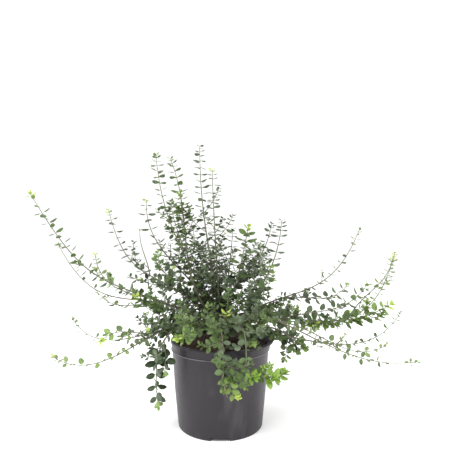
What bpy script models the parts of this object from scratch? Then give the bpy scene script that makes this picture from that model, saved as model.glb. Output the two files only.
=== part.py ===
"""Potted minimus wintercreeper: a low evergreen shrub of long thin shoots in a round plastic pot.

Metres, +Z up. The origin is on the floor under the middle of the pot, and -Y is the plant's front.
"""

import math
import random
from collections import namedtuple

import bmesh
import bpy
import numpy as np
from mathutils import Matrix, Vector
from mathutils.bvhtree import BVHTree

MM = 0.001
UP = Vector((0, 0, 1))
CLEARANCE = 0.3 * MM  # between neighbouring solids

# Pot, a thin moulded shell on a skirt
POT_SIDES = 40
POT_HEIGHT = 124 * MM
FOOT_RADIUS = 61 * MM
BODY_TOP_RADIUS = 70.8 * MM
BAND_RADIUS = 72.4 * MM
BAND_STEP_HEIGHT = 110.5 * MM
LIP_RADIUS = 75 * MM
LIP_THICKNESS = 3.6 * MM
WALL = 1.4 * MM
PLATE_HEIGHT = 5 * MM  # underside of the floor plate above the ground
NOTCH_WIDTH = 26 * MM
NOTCH_HEIGHT = 4.6 * MM
NOTCH_COUNT = 3
DRAIN_COUNT = 6
DRAIN_RADIUS = 4.5 * MM
DRAIN_CIRCLE = 44 * MM

# The worn rim is pushed to one side and bent out over a short stretch
LIP_SHIFT = 2.5 * MM
BEND_OUT = 6 * MM
BEND_UP = 3 * MM
BEND_AZIMUTH = 18
BEND_HALF_ANGLE = 24

# Soil, which fills the pot and stands up a little in the middle
SOIL_TOP = 126 * MM
SOIL_EDGE = 114 * MM
SOIL_ROUGHNESS = 0.8 * MM
SOIL_FLAT_RADIUS = 14 * MM

# Root crown, the short woody stem that all limbs leave
STEM_RADIUS = 7.2 * MM
FLARE_RADIUS = 9.2 * MM
HEAD_RADIUS = 10 * MM
HEAD_CENTRE = Vector((0, 0, 142 * MM))
LEAST_LIMB_ANGLE = 21  # between neighbouring limbs where they leave the head
LOWEST_LIMB = -8  # degrees of slope

# Wood of the shoots: radii, and the straight pieces and sides that each is made of
LIMB_RADIUS = 1.5 * MM
FORK_RADIUS = 1.2 * MM
BRANCH_RADIUS = 0.95 * MM
TWIG_RADIUS = 0.75 * MM
TIP_RADIUS = 0.6 * MM
LIMB_RINGS = 4
STEM_RINGS = 7
BRANCH_RINGS = 5
TWIG_RINGS = 2
LIMB_SIDES = 5
SHOOT_SIDES = 3
SHOOT_END = 0.975  # share of a shoot's curve that is wood, the rest is its last leaves

# Side twigs, one at a time along the inner part of a shoot
TWIG_STEP = 66 * MM
TWIG_LENGTHS = (24 * MM, 40 * MM)
TWIG_SPREAD = 52  # degrees from the parent where it leaves
TWIG_RISE = 0.9  # how far its end turns up
TWIG_ZONE = 0.62  # share of the parent that carries twigs
TWIG_BARE = 0.45  # share of a twig before its first leaves

# Leaves, in opposite pairs, each pair a quarter turn from the last
LEAF_LENGTH = 19 * MM
LEAF_WIDTH = 10.5 * MM
LEAF_THICKNESS = 1.2 * MM
WIDEST_AT = 0.48  # share of the leaf's length
PAIR_STEP = 62 * MM
ROOT_DEPTH = 0.25 * MM  # of a leaf's root beyond the middle of the wood
BARE_BASE = 16 * MM  # of each shoot before its first leaves
LEAF_SPREAD = 64  # degrees from the shoot, on its older part
LEAF_CLOSING = 26  # degrees less at the very tip
LEAF_LIFT = 0.12
LEAF_ROLL = 0.45  # radians at most either way
PAIR_ROLL = 0.3
FACE_OUT = 1.6  # how far leaves on hanging shoots turn their upper sides outward
SEED = 11

# A shoot: the azimuth, reach and height of its tip in degrees and millimetres, its slope in degrees
# where it leaves and where it ends, how strongly both ends hold their slope, and for a branch the
# share of the main shoot where it leaves
Shoot = namedtuple("Shoot", "azimuth reach height launch finish pull leaves_at", defaults=(0.4, 0.0))

# A mass: the share of its main shoot that is a bare limb, and its main shoot with the branches on it
Mass = namedtuple("Mass", "bare_share shoots")

MASSES = {
    "far_left": Mass(0.22, [Shoot(184, 274, 337, 25, 60, 0.55), Shoot(200, 178, 251, 15, 85, 0.4, 0.3)]),
    "bare_left": Mass(0.22, [Shoot(170, 261, 261, 25, 60, 0.55), Shoot(162, 212, 184, 0, 50, 0.4, 0.3)]),
    "slant_left": Mass(0.0, [Shoot(173, 172, 313, 35, 75, 0.55), Shoot(169, 126, 282, 80, 92, 0.4, 0.5)]),
    "rise_left": Mass(0.0, [Shoot(188, 108, 327, 60, 92), Shoot(216, 103, 253, 10, 88, 0.4, 0.32)]),
    "tall_left": Mass(0.0, [Shoot(156, 112, 403, 60, 85), Shoot(141, 104, 332, 70, 85, 0.4, 0.4)]),
    "tall_left_front": Mass(0.0, [Shoot(199, 75, 385, 50, 68), Shoot(215, 67, 336, 85, 90, 0.4, 0.5)]),
    "tall_middle": Mass(0.0, [Shoot(154, 35, 410, 85, 90), Shoot(129, 71, 289, 50, 80, 0.4, 0.15)]),
    "tall_right": Mass(0.0, [Shoot(249, 32, 369, 85, 85)]),
    "middle_back": Mass(0.0, [Shoot(73, 68, 284, 55, 70), Shoot(110, 75, 242, 35, 70, 0.4, 0.3)]),
    "bright_right": Mass(0.0, [Shoot(328, 47, 288, 72, 78)]),
    "rise_right": Mass(0.0, [Shoot(24, 87, 293, 80, 78, 0.5), Shoot(42, 89, 259, 40, 75, 0.4, 0.3)]),
    "rise_right_front": Mass(0.0, [Shoot(338, 93, 297, 35, 85), Shoot(318, 92, 236, 10, 70, 0.4, 0.2)]),
    "long_right": Mass(0.24, [Shoot(15, 231, 283, 20, 65, 0.5), Shoot(20, 222, 193, 5, 45, 0.4, 0.35)]),
    "far_right": Mass(0.22, [Shoot(4, 265, 248, 10, 75, 0.55), Shoot(11, 280, 239, 55, 75, 0.4, 0.6)]),
    "dense_right": Mass(0.22, [Shoot(348, 239, 183, 15, 35), Shoot(340, 207, 213, 20, 60, 0.4, 0.35)]),
    "low_right": Mass(0.24, [Shoot(358, 263, 164, 5, 60)]),
    "low_right_front": Mass(0.22, [Shoot(322, 277, 141, 35, 20), Shoot(336, 232, 139, -5, 35, 0.4, 0.35)]),
    "drop_right": Mass(0.5, [Shoot(339, 114, 116, 10, -75), Shoot(331, 131, 127, -15, 45, 0.4, 0.7)]),
    "hang_left": Mass(0.45, [Shoot(208, 97, 43, 20, -96, 0.7), Shoot(218, 94, 92, -25, -88, 0.4, 0.5)]),
    "low_left": Mass(0.26, [Shoot(208, 234, 129, 20, 40), Shoot(209, 176, 141, -5, -40, 0.4, 0.38)]),
    "low_left_back": Mass(0.26, [Shoot(174, 229, 148, 15, 55)]),
    "rim_left": Mass(0.0, [Shoot(201, 111, 166, 15, 60), Shoot(193, 121, 190, 35, 60, 0.4, 0.35)]),
    "rim_front_left": Mass(0.0, [Shoot(243, 118, 150, 20, 5), Shoot(236, 84, 166, 30, 45, 0.4, 0.4)]),
    "rim_front": Mass(0.0, [Shoot(279, 58, 172, 25, 55)]),
    "rim_front_right": Mass(0.0, [Shoot(307, 84, 186, 5, 88), Shoot(298, 91, 136, 5, -25, 0.4, 0.4)]),
    "trail_front": Mass(0.45, [Shoot(273, 92, 80, 15, -88, 0.85), Shoot(284, 96, 73, -40, -15, 0.4, 0.72)]),
    "trail_right": Mass(0.42, [Shoot(291, 94, 82, 15, -92, 0.85), Shoot(312, 124, 104, -5, 45, 0.4, 0.86)]),
    "back_right": Mass(0.28, [Shoot(58, 178, 205, 20, 55), Shoot(38, 152, 152, 0, 40, 0.4, 0.4)]),
    "back_left": Mass(0.26, [Shoot(118, 188, 214, 20, 60), Shoot(140, 158, 160, 5, 50, 0.4, 0.35)]),
    "back_rise": Mass(0.0, [Shoot(92, 98, 258, 40, 75)]),
    "back_low": Mass(0.3, [Shoot(87, 172, 160, 15, 35)]),
    "back_hang": Mass(0.45, [Shoot(103, 96, 58, 20, -95, 0.7), Shoot(90, 95, 96, -25, -85, 0.4, 0.5)]),
}

POT_GREY = (0.075, 0.068, 0.078)
SOIL_BROWN = (0.055, 0.028, 0.018)
BARK_BROWN = (0.13, 0.095, 0.06)
LIMB_GREEN_BROWN = (0.12, 0.12, 0.06)
LEAF_GREEN = (0.05, 0.12, 0.04)
BRIGHT_GREEN = (0.16, 0.3, 0.04)
BRIGHT_MASSES = ("bright_right", "dense_right", "rim_left", "trail_right", "rim_front")


class Path:
    """One cubic curve, read by distance along it."""

    SAMPLES = 60

    def __init__(self, start, start_pull, end_pull, end):
        self.controls = (start, start_pull, end_pull, end)
        self.shares = np.linspace(0, 1, self.SAMPLES + 1)
        points = [self.at_share(share) for share in self.shares]
        steps = [(b - a).length for a, b in zip(points, points[1:])]
        self.distances = np.concatenate([[0], np.cumsum(steps)])
        self.length = float(self.distances[-1])

    def at_share(self, share):
        a, b, c, d = self.controls
        rest = 1 - share
        return a * rest**3 + 3 * b * share * rest**2 + 3 * c * share**2 * rest + d * share**3

    def point(self, distance):
        return self.at_share(float(np.interp(distance, self.distances, self.shares)))

    def heading(self, distance):
        a, b, c, d = self.controls
        share = float(np.interp(distance, self.distances, self.shares))
        rest = 1 - share
        return ((b - a) * rest**2 + 2 * (c - b) * share * rest + (d - c) * share**2).normalized()

    def side(self, distance):
        """A direction across the path that turns smoothly along it."""
        steps = 12
        across = Vector((0.31, -0.95, 0.07))
        for step in range(steps + 1):
            heading = self.heading(distance * step / steps)
            across = (across - heading * across.dot(heading)).normalized()
        return across


def toward(azimuth, slope):
    """The direction with this azimuth and slope, in degrees."""
    a, s = math.radians(azimuth), math.radians(slope)
    return Vector((math.cos(a) * math.cos(s), math.sin(a) * math.cos(s), math.sin(s)))


def tip_place(shoot):
    """Where a shoot's tip is."""
    return toward(shoot.azimuth, 0) * shoot.reach * MM + Vector((0, 0, shoot.height * MM))


def spread_limbs(wanted):
    """Turns limb directions apart, a little at a time, until none starts too near its neighbour."""
    turned = [direction.copy() for direction in wanted]
    least = math.radians(LEAST_LIMB_ANGLE)
    lowest = math.sin(math.radians(LOWEST_LIMB))
    for _ in range(400):
        for i, first in enumerate(turned):
            for j in range(i):
                second = turned[j]
                lack = least - first.angle(second)
                if lack > 0:
                    apart = (first - second).normalized() * lack * 0.5
                    first += apart
                    second -= apart
                    first.normalize()
                    second.normalize()
        for direction in turned:
            direction.z = max(direction.z, lowest)
            direction.normalize()
    return turned


def main_path(shoot, direction):
    """From the root crown's head, straight out of it, in one arch to the tip."""
    start = HEAD_CENTRE + direction * (HEAD_RADIUS + CLEARANCE)
    tip = tip_place(shoot)
    hold = (tip - start).length * shoot.pull
    return Path(start, start + direction * hold, tip - toward(shoot.azimuth, shoot.finish) * hold, tip)


class Rod:
    """Tapering wood along a stretch of a path, straight between its rings, with flat ends."""

    def __init__(self, path, first, last, first_radius, last_radius, sides, rings):
        self.path = path
        self.first = first
        self.last = last
        self.radii = (first_radius, last_radius)
        self.sides = sides
        self.rings = rings

    def centre(self, distance):
        """The middle of the wood at this distance along the path."""
        place = (distance - self.first) / (self.last - self.first) * self.rings
        ring = min(self.rings - 1, max(0, int(place)))
        step = (self.last - self.first) / self.rings
        here = self.path.point(self.first + step * ring)
        beyond = self.path.point(self.first + step * (ring + 1))
        return here.lerp(beyond, place - ring)

    def solid(self, grow=0.0):
        """Corners and faces, swollen by grow for tests."""
        corners = []
        across = self.path.side(self.first)
        for ring in range(self.rings + 1):
            share = ring / self.rings
            distance = self.first + (self.last - self.first) * share
            heading = self.path.heading(distance)
            across = (across - heading * across.dot(heading)).normalized()
            radius = self.radii[0] + (self.radii[1] - self.radii[0]) * share + grow
            for side in range(self.sides):
                turn = Matrix.Rotation(2 * math.pi * side / self.sides, 3, heading)
                corners.append(self.path.point(distance) + turn @ across * radius)
        faces = [list(reversed(range(self.sides)))]
        for ring in range(self.rings):
            for side in range(self.sides):
                a = ring * self.sides + side
                b = ring * self.sides + (side + 1) % self.sides
                faces.append([a, b, b + self.sides, a + self.sides])
        faces.append([self.rings * self.sides + side for side in range(self.sides)])
        return corners, faces


def branch_path(shoot, parent):
    """From a place in its parent's wood, in one arch to the tip."""
    start = parent.centre(parent.path.length * shoot.leaves_at)
    tip = tip_place(shoot)
    across = tip - start
    azimuth = math.degrees(math.atan2(across.y, across.x))
    hold = across.length * shoot.pull
    return Path(
        start,
        start + toward(azimuth, shoot.launch) * hold,
        tip - toward(azimuth, shoot.finish) * hold,
        tip,
    )


def twig_path(parent, distance, around, length):
    """A short side twig that leaves its parent's wood at a slant and bends up to the light."""
    heading = parent.path.heading(distance)
    side = parent.path.side(distance)
    out = side * math.cos(around) + heading.cross(side) * math.sin(around)
    slant = math.radians(TWIG_SPREAD)
    leaving = (heading * math.cos(slant) + out * math.sin(slant)).normalized()
    ending = (leaving + Vector((0, 0, TWIG_RISE))).normalized()
    start = parent.centre(distance)
    turn = start + leaving * length * 0.5
    return Path(start, start + leaving * length * 0.3, turn, turn + ending * length * 0.5)


def leaf(root, along, upward, grow=0.0):
    """Corners and faces of one leaf, keeled below, swollen by grow on every side for tests."""
    across = along.cross(upward).normalized()
    middle = root + along * LEAF_LENGTH * WIDEST_AT + upward * (LEAF_THICKNESS + grow)
    half_width = across * (LEAF_WIDTH / 2 + grow)
    keel = upward * grow
    corners = [
        root - along * grow - keel,
        root + along * (LEAF_LENGTH + grow) - keel,
        middle + half_width,
        middle - half_width,
    ]
    faces = [[0, 2, 3], [1, 3, 2], [0, 1, 2], [1, 0, 3]]
    return corners, faces


def leaf_pair(rod, distance, turn, rng):
    """Roots, directions and upper sides of the two opposite leaves at one place on a shoot."""
    heading = rod.path.heading(distance)
    side = rod.path.side(distance)
    middle = rod.centre(distance)
    opening = math.radians(LEAF_SPREAD - LEAF_CLOSING * (distance / rod.path.length) ** 3)
    level = math.hypot(heading.x, heading.y)
    outward = Vector((middle.x, middle.y, 0)).normalized()
    light = UP + outward * FACE_OUT * max(0.0, -heading.z)
    pair = []
    for half in (0, math.pi):
        out = side * math.cos(turn + half) + heading.cross(side) * math.sin(turn + half)
        out.z *= 1 - 0.55 * level
        out = (out - heading * out.dot(heading)).normalized()
        along = heading * math.cos(opening) + out * math.sin(opening) + UP * LEAF_LIFT
        along.normalize()
        upward = light - along * light.dot(along)
        if upward.length < 0.2:
            upward = heading - along * heading.dot(along)
        upward = Matrix.Rotation(rng.uniform(-LEAF_ROLL, LEAF_ROLL), 3, along) @ upward.normalized()
        pair.append((middle - along * ROOT_DEPTH, along, upward))
    return pair


def clear_of_pot(points):
    """Whether no point is inside the pot's outline, in the soil or under the floor."""
    margin = 1 * MM
    for point in points:
        lip = LIP_RADIUS + margin
        if point.x > 20 * MM:
            lip += LIP_SHIFT + BEND_OUT
        over_pot = math.hypot(point.x, point.y) < lip
        if point.z < 2 * margin or (over_pot and point.z < SOIL_TOP + BEND_UP + margin):
            return False
    return True


class Neighbours:
    """Everything placed so far, so that nothing placed later touches another node."""

    def __init__(self):
        self.placed = []

    def add(self, owner, solid):
        corners, faces = solid
        centre = sum(corners, Vector()) / len(corners)
        radius = max((corner - centre).length for corner in corners)
        self.placed.append((owner, BVHTree.FromPolygons(corners, faces), centre, radius))

    def has_room(self, owner, solid):
        corners, faces = solid
        centre = sum(corners, Vector()) / len(corners)
        radius = max((corner - centre).length for corner in corners)
        tree = BVHTree.FromPolygons(corners, faces)
        for other, other_tree, other_centre, other_radius in self.placed:
            if other != owner and (centre - other_centre).length < radius + other_radius:
                if tree.overlap(other_tree):
                    return False
        return True


def new_object(name, corners, faces):
    mesh = bpy.data.meshes.new(name)
    mesh.from_pydata([tuple(corner) for corner in corners], [], faces)
    mesh.update()
    piece = bpy.data.objects.new(name, mesh)
    bpy.context.scene.collection.objects.link(piece)
    return piece


def spun(name, outline, sides):
    """A turned solid whose outline starts and ends on the axis."""
    shape = bmesh.new()
    corners = [shape.verts.new((radius, 0, height)) for radius, height in outline]
    edges = [shape.edges.new(pair) for pair in zip(corners, corners[1:])]
    bmesh.ops.spin(
        shape,
        geom=corners + edges,
        cent=(0, 0, 0),
        axis=UP,
        angle=2 * math.pi,
        steps=sides,
        use_merge=True,
    )
    bmesh.ops.remove_doubles(shape, verts=shape.verts, dist=1e-6)
    bmesh.ops.recalc_face_normals(shape, faces=shape.faces)
    mesh = bpy.data.meshes.new(name)
    shape.to_mesh(mesh)
    shape.free()
    piece = bpy.data.objects.new(name, mesh)
    bpy.context.scene.collection.objects.link(piece)
    return piece


def shade_round(piece, angle=35):
    piece.data.shade_smooth()
    piece.data.set_sharp_from_angle(angle=math.radians(angle))


def paint(piece, colour, roughness):
    material = bpy.data.materials.new(piece.name + "_finish")
    material.use_nodes = True
    shader = material.node_tree.nodes["Principled BSDF"]
    shader.inputs["Base Color"].default_value = (*colour, 1)
    shader.inputs["Roughness"].default_value = roughness
    shader.inputs["Metallic"].default_value = 0
    piece.data.materials.clear()
    piece.data.materials.append(material)


def cut(piece, cutter):
    cutter.hide_render = True
    cutter.display_type = "WIRE"
    trim = piece.modifiers.new("cut_" + cutter.name, "BOOLEAN")
    trim.operation = "DIFFERENCE"
    trim.solver = "EXACT"
    trim.object = cutter


def push_rim(mesh):
    """Moves the band and lip sideways, and bends a short stretch of the lip out and up."""
    for corner in mesh.vertices:
        share = (corner.co.z - BAND_STEP_HEIGHT) / (POT_HEIGHT - BAND_STEP_HEIGHT)
        if share <= 0:
            continue
        azimuth = math.degrees(math.atan2(corner.co.y, corner.co.x))
        bend = math.exp(-(((azimuth - BEND_AZIMUTH) / BEND_HALF_ANGLE) ** 2)) * share**2
        outward = Vector((corner.co.x, corner.co.y, 0)).normalized()
        corner.co += outward * BEND_OUT * bend + Vector((LIP_SHIFT * share, 0, BEND_UP * bend))


def build_pot():
    """Skirt, floor plate, tapering wall, stepped band and flat lip, turned in one piece."""
    lip_low = POT_HEIGHT - LIP_THICKNESS
    inner_top = BAND_RADIUS - WALL
    foot_inner = FOOT_RADIUS - WALL
    outline = [
        (0, PLATE_HEIGHT),
        (foot_inner - 0.2 * MM, PLATE_HEIGHT),
        (foot_inner, 0),
        (FOOT_RADIUS, 0),
        (FOOT_RADIUS + 0.7 * MM, 1.5 * MM),
        (FOOT_RADIUS + 1 * MM, PLATE_HEIGHT),
        (BODY_TOP_RADIUS, BAND_STEP_HEIGHT - 0.4 * MM),
        (BAND_RADIUS - 0.4 * MM, BAND_STEP_HEIGHT),
        (BAND_RADIUS, lip_low),
        (LIP_RADIUS, lip_low + 0.3 * MM),
        (LIP_RADIUS, POT_HEIGHT - 0.6 * MM),
        (LIP_RADIUS - 0.6 * MM, POT_HEIGHT),
        (inner_top, POT_HEIGHT),
        (inner_top - 0.4 * MM, BAND_STEP_HEIGHT + WALL),
        (BODY_TOP_RADIUS - WALL, BAND_STEP_HEIGHT - 2 * WALL),
        (foot_inner + 1 * MM, PLATE_HEIGHT + 2 * WALL),
        (foot_inner - 0.4 * MM, PLATE_HEIGHT + WALL),
        (0, PLATE_HEIGHT + WALL),
    ]
    pot = spun("pot", outline, POT_SIDES)
    push_rim(pot.data)
    for notch in range(NOTCH_COUNT):
        azimuth = -90 + 360 / NOTCH_COUNT * notch
        bpy.ops.mesh.primitive_cube_add(size=1)
        cutter = bpy.context.object
        cutter.name = f"notch_{notch}"
        cutter.scale = (20 * MM, NOTCH_WIDTH, 2 * NOTCH_HEIGHT)
        cutter.location = toward(azimuth, 0) * FOOT_RADIUS
        cutter.rotation_euler.z = math.radians(azimuth)
        cut(pot, cutter)
    for drain in range(DRAIN_COUNT):
        azimuth = -60 + 360 / DRAIN_COUNT * drain
        bpy.ops.mesh.primitive_cylinder_add(vertices=12, radius=DRAIN_RADIUS, depth=4 * WALL)
        cutter = bpy.context.object
        cutter.name = f"drain_{drain}"
        cutter.location = toward(azimuth, 0) * DRAIN_CIRCLE + UP * (PLATE_HEIGHT + WALL / 2)
        cut(pot, cutter)
    shade_round(pot)
    paint(pot, POT_GREY, 0.5)


def build_soil():
    """One plug of soil, clear of the pot's wall and floor, with a rough mounded top."""
    floor = PLATE_HEIGHT + WALL + CLEARANCE
    wall_gap = CLEARANCE + 0.15 * MM
    foot_inner = FOOT_RADIUS - WALL
    outline = [
        (0, floor),
        (foot_inner - 1 * MM, floor),
        (foot_inner + 1 * MM - wall_gap, PLATE_HEIGHT + 2 * WALL + CLEARANCE),
        (BODY_TOP_RADIUS - WALL - wall_gap, BAND_STEP_HEIGHT - 2 * WALL),
        (BODY_TOP_RADIUS - WALL - 0.5 * MM, SOIL_EDGE),
        (BODY_TOP_RADIUS - 5.5 * MM, SOIL_EDGE + 4.5 * MM),
        (BODY_TOP_RADIUS - 18 * MM, SOIL_TOP - 4.5 * MM),
        (BODY_TOP_RADIUS - 36 * MM, SOIL_TOP - 1.8 * MM),
        (SOIL_FLAT_RADIUS, SOIL_TOP),
        (0, SOIL_TOP),
    ]
    soil = spun("soil", outline, POT_SIDES)
    rng = random.Random(SEED)
    for corner in soil.data.vertices:
        out = math.hypot(corner.co.x, corner.co.y)
        if corner.co.z > SOIL_EDGE + 1 * MM and out > SOIL_FLAT_RADIUS + 1 * MM:
            corner.co.z += rng.uniform(-SOIL_ROUGHNESS, SOIL_ROUGHNESS)
    shade_round(soil, 60)
    paint(soil, SOIL_BROWN, 0.95)


def build_root_crown():
    """A short woody stem on the soil, flared at its foot, under a round head."""
    foot = SOIL_TOP + CLEARANCE
    join = -math.acos(STEM_RADIUS / HEAD_RADIUS)
    outline = [
        (0, foot),
        (FLARE_RADIUS, foot),
        (STEM_RADIUS + 0.5 * MM, foot + 2.5 * MM),
    ]
    arcs = 8
    for arc in range(arcs):
        slope = join + (math.pi / 2 - join) * arc / arcs
        height = HEAD_CENTRE.z + HEAD_RADIUS * math.sin(slope)
        outline.append((HEAD_RADIUS * math.cos(slope), height))
    outline.append((0, HEAD_CENTRE.z + HEAD_RADIUS))
    crown = spun("root_crown", outline, 12)
    shade_round(crown, 50)
    paint(crown, BARK_BROWN, 0.85)


def lay_limbs_and_shoots(neighbours):
    """The bare limbs' solids, and each mass's main shoot and branches as rods with their first leaf place."""
    launches = [toward(mass.shoots[0].azimuth, mass.shoots[0].launch) for mass in MASSES.values()]
    directions = spread_limbs(launches)
    limbs = {}
    rods = {}
    for (name, mass), direction in zip(MASSES.items(), directions):
        main = main_path(mass.shoots[0], direction)
        bare = main.length * mass.bare_share
        radius = LIMB_RADIUS
        if bare:
            radius = FORK_RADIUS
            limb = Rod(main, 0, bare - CLEARANCE, LIMB_RADIUS, radius, LIMB_SIDES, LIMB_RINGS)
            limbs[name] = limb.solid()
            neighbours.add(name + "_limb", limbs[name])
        stem = Rod(main, bare, main.length * SHOOT_END, radius, TIP_RADIUS, SHOOT_SIDES, STEM_RINGS)
        rods[name] = [(stem, bare + BARE_BASE)]
        for shoot in mass.shoots[1:]:
            path = branch_path(shoot, stem)
            end = path.length * SHOOT_END
            branch = Rod(path, 0, end, BRANCH_RADIUS, TIP_RADIUS, SHOOT_SIDES, BRANCH_RINGS)
            rods[name].append((branch, BARE_BASE))
        for rod, _ in rods[name]:
            neighbours.add(name, rod.solid())
    return limbs, rods


def add_twigs(rods, neighbours):
    """Side twigs on every shoot, each where there is room for it."""
    for index, name in enumerate(MASSES):
        rng = random.Random(SEED + index)
        for parent, first in list(rods[name]):
            distance = first + BARE_BASE / 2
            while distance < parent.path.length * TWIG_ZONE:
                path = twig_path(parent, distance, rng.uniform(0, 2 * math.pi), rng.uniform(*TWIG_LENGTHS))
                end = path.length * SHOOT_END
                twig = Rod(path, 0, end, TWIG_RADIUS, TIP_RADIUS, SHOOT_SIDES, TWIG_RINGS)
                wood = twig.solid()
                if clear_of_pot(wood[0]) and neighbours.has_room(name, twig.solid(CLEARANCE)):
                    rods[name].append((twig, path.length * TWIG_BARE))
                    neighbours.add(name, wood)
                distance += TWIG_STEP


def add_leaves(rods, neighbours):
    """Each mass's list of solids: its wood, and every leaf that has room."""
    solids = {}
    for index, name in enumerate(MASSES):
        rng = random.Random(SEED + len(MASSES) + index)
        solids[name] = [rod.solid() for rod, _ in rods[name]]
        for rod, first in rods[name]:
            last = rod.last - TIP_RADIUS
            steps = max(1, round((last - first) / PAIR_STEP))
            for step in range(steps + 1):
                distance = first + (last - first) * step / steps
                turn = math.pi / 2 * step + rng.uniform(-PAIR_ROLL, PAIR_ROLL)
                for root, along, upward in leaf_pair(rod, distance, turn, rng):
                    space = leaf(root, along, upward, CLEARANCE)
                    if clear_of_pot(space[0][1:]) and neighbours.has_room(name, space):
                        blade = leaf(root, along, upward)
                        solids[name].append(blade)
                        neighbours.add(name, blade)
    return solids


def main_body_only(shape):
    """Keeps the largest body: walls of sealed hollows and loose scraps are dropped."""
    left = set(shape.faces)
    bodies = []
    while left:
        body = []
        front = [left.pop()]
        while front:
            face = front.pop()
            body.append(face)
            beyond = {other for edge in face.edges for other in edge.link_faces} & left
            left -= beyond
            front.extend(beyond)
        bodies.append(body)
    bodies.sort(key=len)
    scraps = [face for body in bodies[:-1] for face in body]
    bmesh.ops.delete(shape, geom=scraps, context="FACES")


def fuse(name, solids):
    """Joins a mass's wood and leaves into one closed body."""
    whole = new_object(name, *solids[0])
    added = bpy.data.collections.new(name + "_pieces")
    for number, solid in enumerate(solids[1:]):
        piece = new_object(f"{name}_piece_{number}", *solid)
        bpy.context.scene.collection.objects.unlink(piece)
        added.objects.link(piece)
    union = whole.modifiers.new("union", "BOOLEAN")
    union.operation = "UNION"
    union.operand_type = "COLLECTION"
    union.collection = added
    union.solver = "MANIFOLD"
    evaluated = whole.evaluated_get(bpy.context.evaluated_depsgraph_get())
    shape = bmesh.new()
    shape.from_mesh(evaluated.to_mesh())
    evaluated.to_mesh_clear()
    whole.modifiers.clear()
    main_body_only(shape)
    shape.to_mesh(whole.data)
    shape.free()
    for piece in list(added.objects):
        bpy.data.objects.remove(piece)
    bpy.data.collections.remove(added)
    return whole


for old in list(bpy.data.objects):
    bpy.data.objects.remove(old)

build_pot()
build_soil()
build_root_crown()
placed = Neighbours()
limb_solids, mass_rods = lay_limbs_and_shoots(placed)
add_twigs(mass_rods, placed)
mass_solids = add_leaves(mass_rods, placed)
for limb_name, limb_solid in limb_solids.items():
    bough = new_object("limb_" + limb_name, *limb_solid)
    shade_round(bough, 70)
    paint(bough, LIMB_GREEN_BROWN, 0.8)
for mass_name, pieces in mass_solids.items():
    foliage = fuse("foliage_" + mass_name, pieces)
    paint(foliage, BRIGHT_GREEN if mass_name in BRIGHT_MASSES else LEAF_GREEN, 0.55)
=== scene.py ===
"""The looks of the potted minimus wintercreeper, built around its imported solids.

Metres, +Z up, with -Y as the plant's front. Every piece rides on the one body, root.
"""

import math
import random
from collections import namedtuple

import bmesh
import bpy
import numpy as np
from mathutils import Matrix, Vector, noise


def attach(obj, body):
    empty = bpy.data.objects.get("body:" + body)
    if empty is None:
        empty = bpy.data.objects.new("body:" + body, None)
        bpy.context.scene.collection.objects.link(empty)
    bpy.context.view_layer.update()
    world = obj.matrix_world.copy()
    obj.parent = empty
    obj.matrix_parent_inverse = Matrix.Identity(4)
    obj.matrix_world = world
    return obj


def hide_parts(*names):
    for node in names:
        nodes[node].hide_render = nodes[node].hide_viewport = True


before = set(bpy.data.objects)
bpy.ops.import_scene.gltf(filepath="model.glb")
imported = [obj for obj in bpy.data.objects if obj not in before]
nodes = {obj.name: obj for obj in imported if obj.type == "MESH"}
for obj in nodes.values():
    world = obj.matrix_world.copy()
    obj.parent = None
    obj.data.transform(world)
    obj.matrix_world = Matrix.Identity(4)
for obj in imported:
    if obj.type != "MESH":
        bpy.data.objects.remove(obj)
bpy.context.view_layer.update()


# Pot
# A thin injection-moulded nursery pot of dark grey plastic, with a skirt notched three times at the foot,
# a stepped band and a flat lip. Handling has pushed the rim a little aside and bent it at the plant's right.
MM = 0.001
POT_HEIGHT = 124 * MM
FOOT_RADIUS = 61 * MM
BODY_TOP_RADIUS = 70.8 * MM
BAND_RADIUS = 72.4 * MM
BAND_STEP_HEIGHT = 110.5 * MM
LIP_RADIUS = 75 * MM
LIP_THICKNESS = 3.6 * MM
WALL = 1.4 * MM
PLATE_HEIGHT = 5 * MM
FRONT = -90
NOTCH_COUNT = 3
NOTCH_WIDTH = 26 * MM
NOTCH_HEIGHT = 4.6 * MM
NOTCH_CUT = 20 * MM
DRAIN_COUNT = 6
FIRST_DRAIN = -60
DRAIN_RADIUS = 4.5 * MM
DRAIN_CIRCLE = 44 * MM
LIP_SHIFT = 2.5 * MM
BEND_OUT = 6 * MM
BEND_UP = 3 * MM
BEND_AZIMUTH = 18
BEND_HALF_ANGLE = 24
RIM_WAVES = 3
RIM_WAVE_DEPTH = 0.5 * MM
POT_SIDES = 120

# The noise values where a blotch starts and is full, and those between which the roughness varies
BLOTCH_LOW = 0.62
BLOTCH_HIGH = 0.66
GRAIN_LOW = 0.3
GRAIN_HIGH = 0.7
BUMP_STRENGTH = 0.6


def socket(group, name, kind, way, value=None):
    """Adds one named socket to a node group's interface."""
    made = group.interface.new_socket(name=name, in_out=way, socket_type=kind)
    if value is not None:
        made.default_value = value


def stretched_cloud(group, entry, count_name, detail):
    """Noise over the object, stretched and scaled by the group's own inputs."""
    tree, link = group.nodes, group.links.new
    place = tree.new("ShaderNodeTexCoord")
    stretch = tree.new("ShaderNodeVectorMath")
    stretch.operation = "MULTIPLY"
    cloud = tree.new("ShaderNodeTexNoise")
    cloud.inputs["Detail"].default_value = detail
    link(place.outputs["Object"], stretch.inputs[0])
    link(entry.outputs["Stretch"], stretch.inputs[1])
    link(stretch.outputs[0], cloud.inputs["Vector"])
    link(entry.outputs[count_name], cloud.inputs["Scale"])
    return cloud


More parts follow.
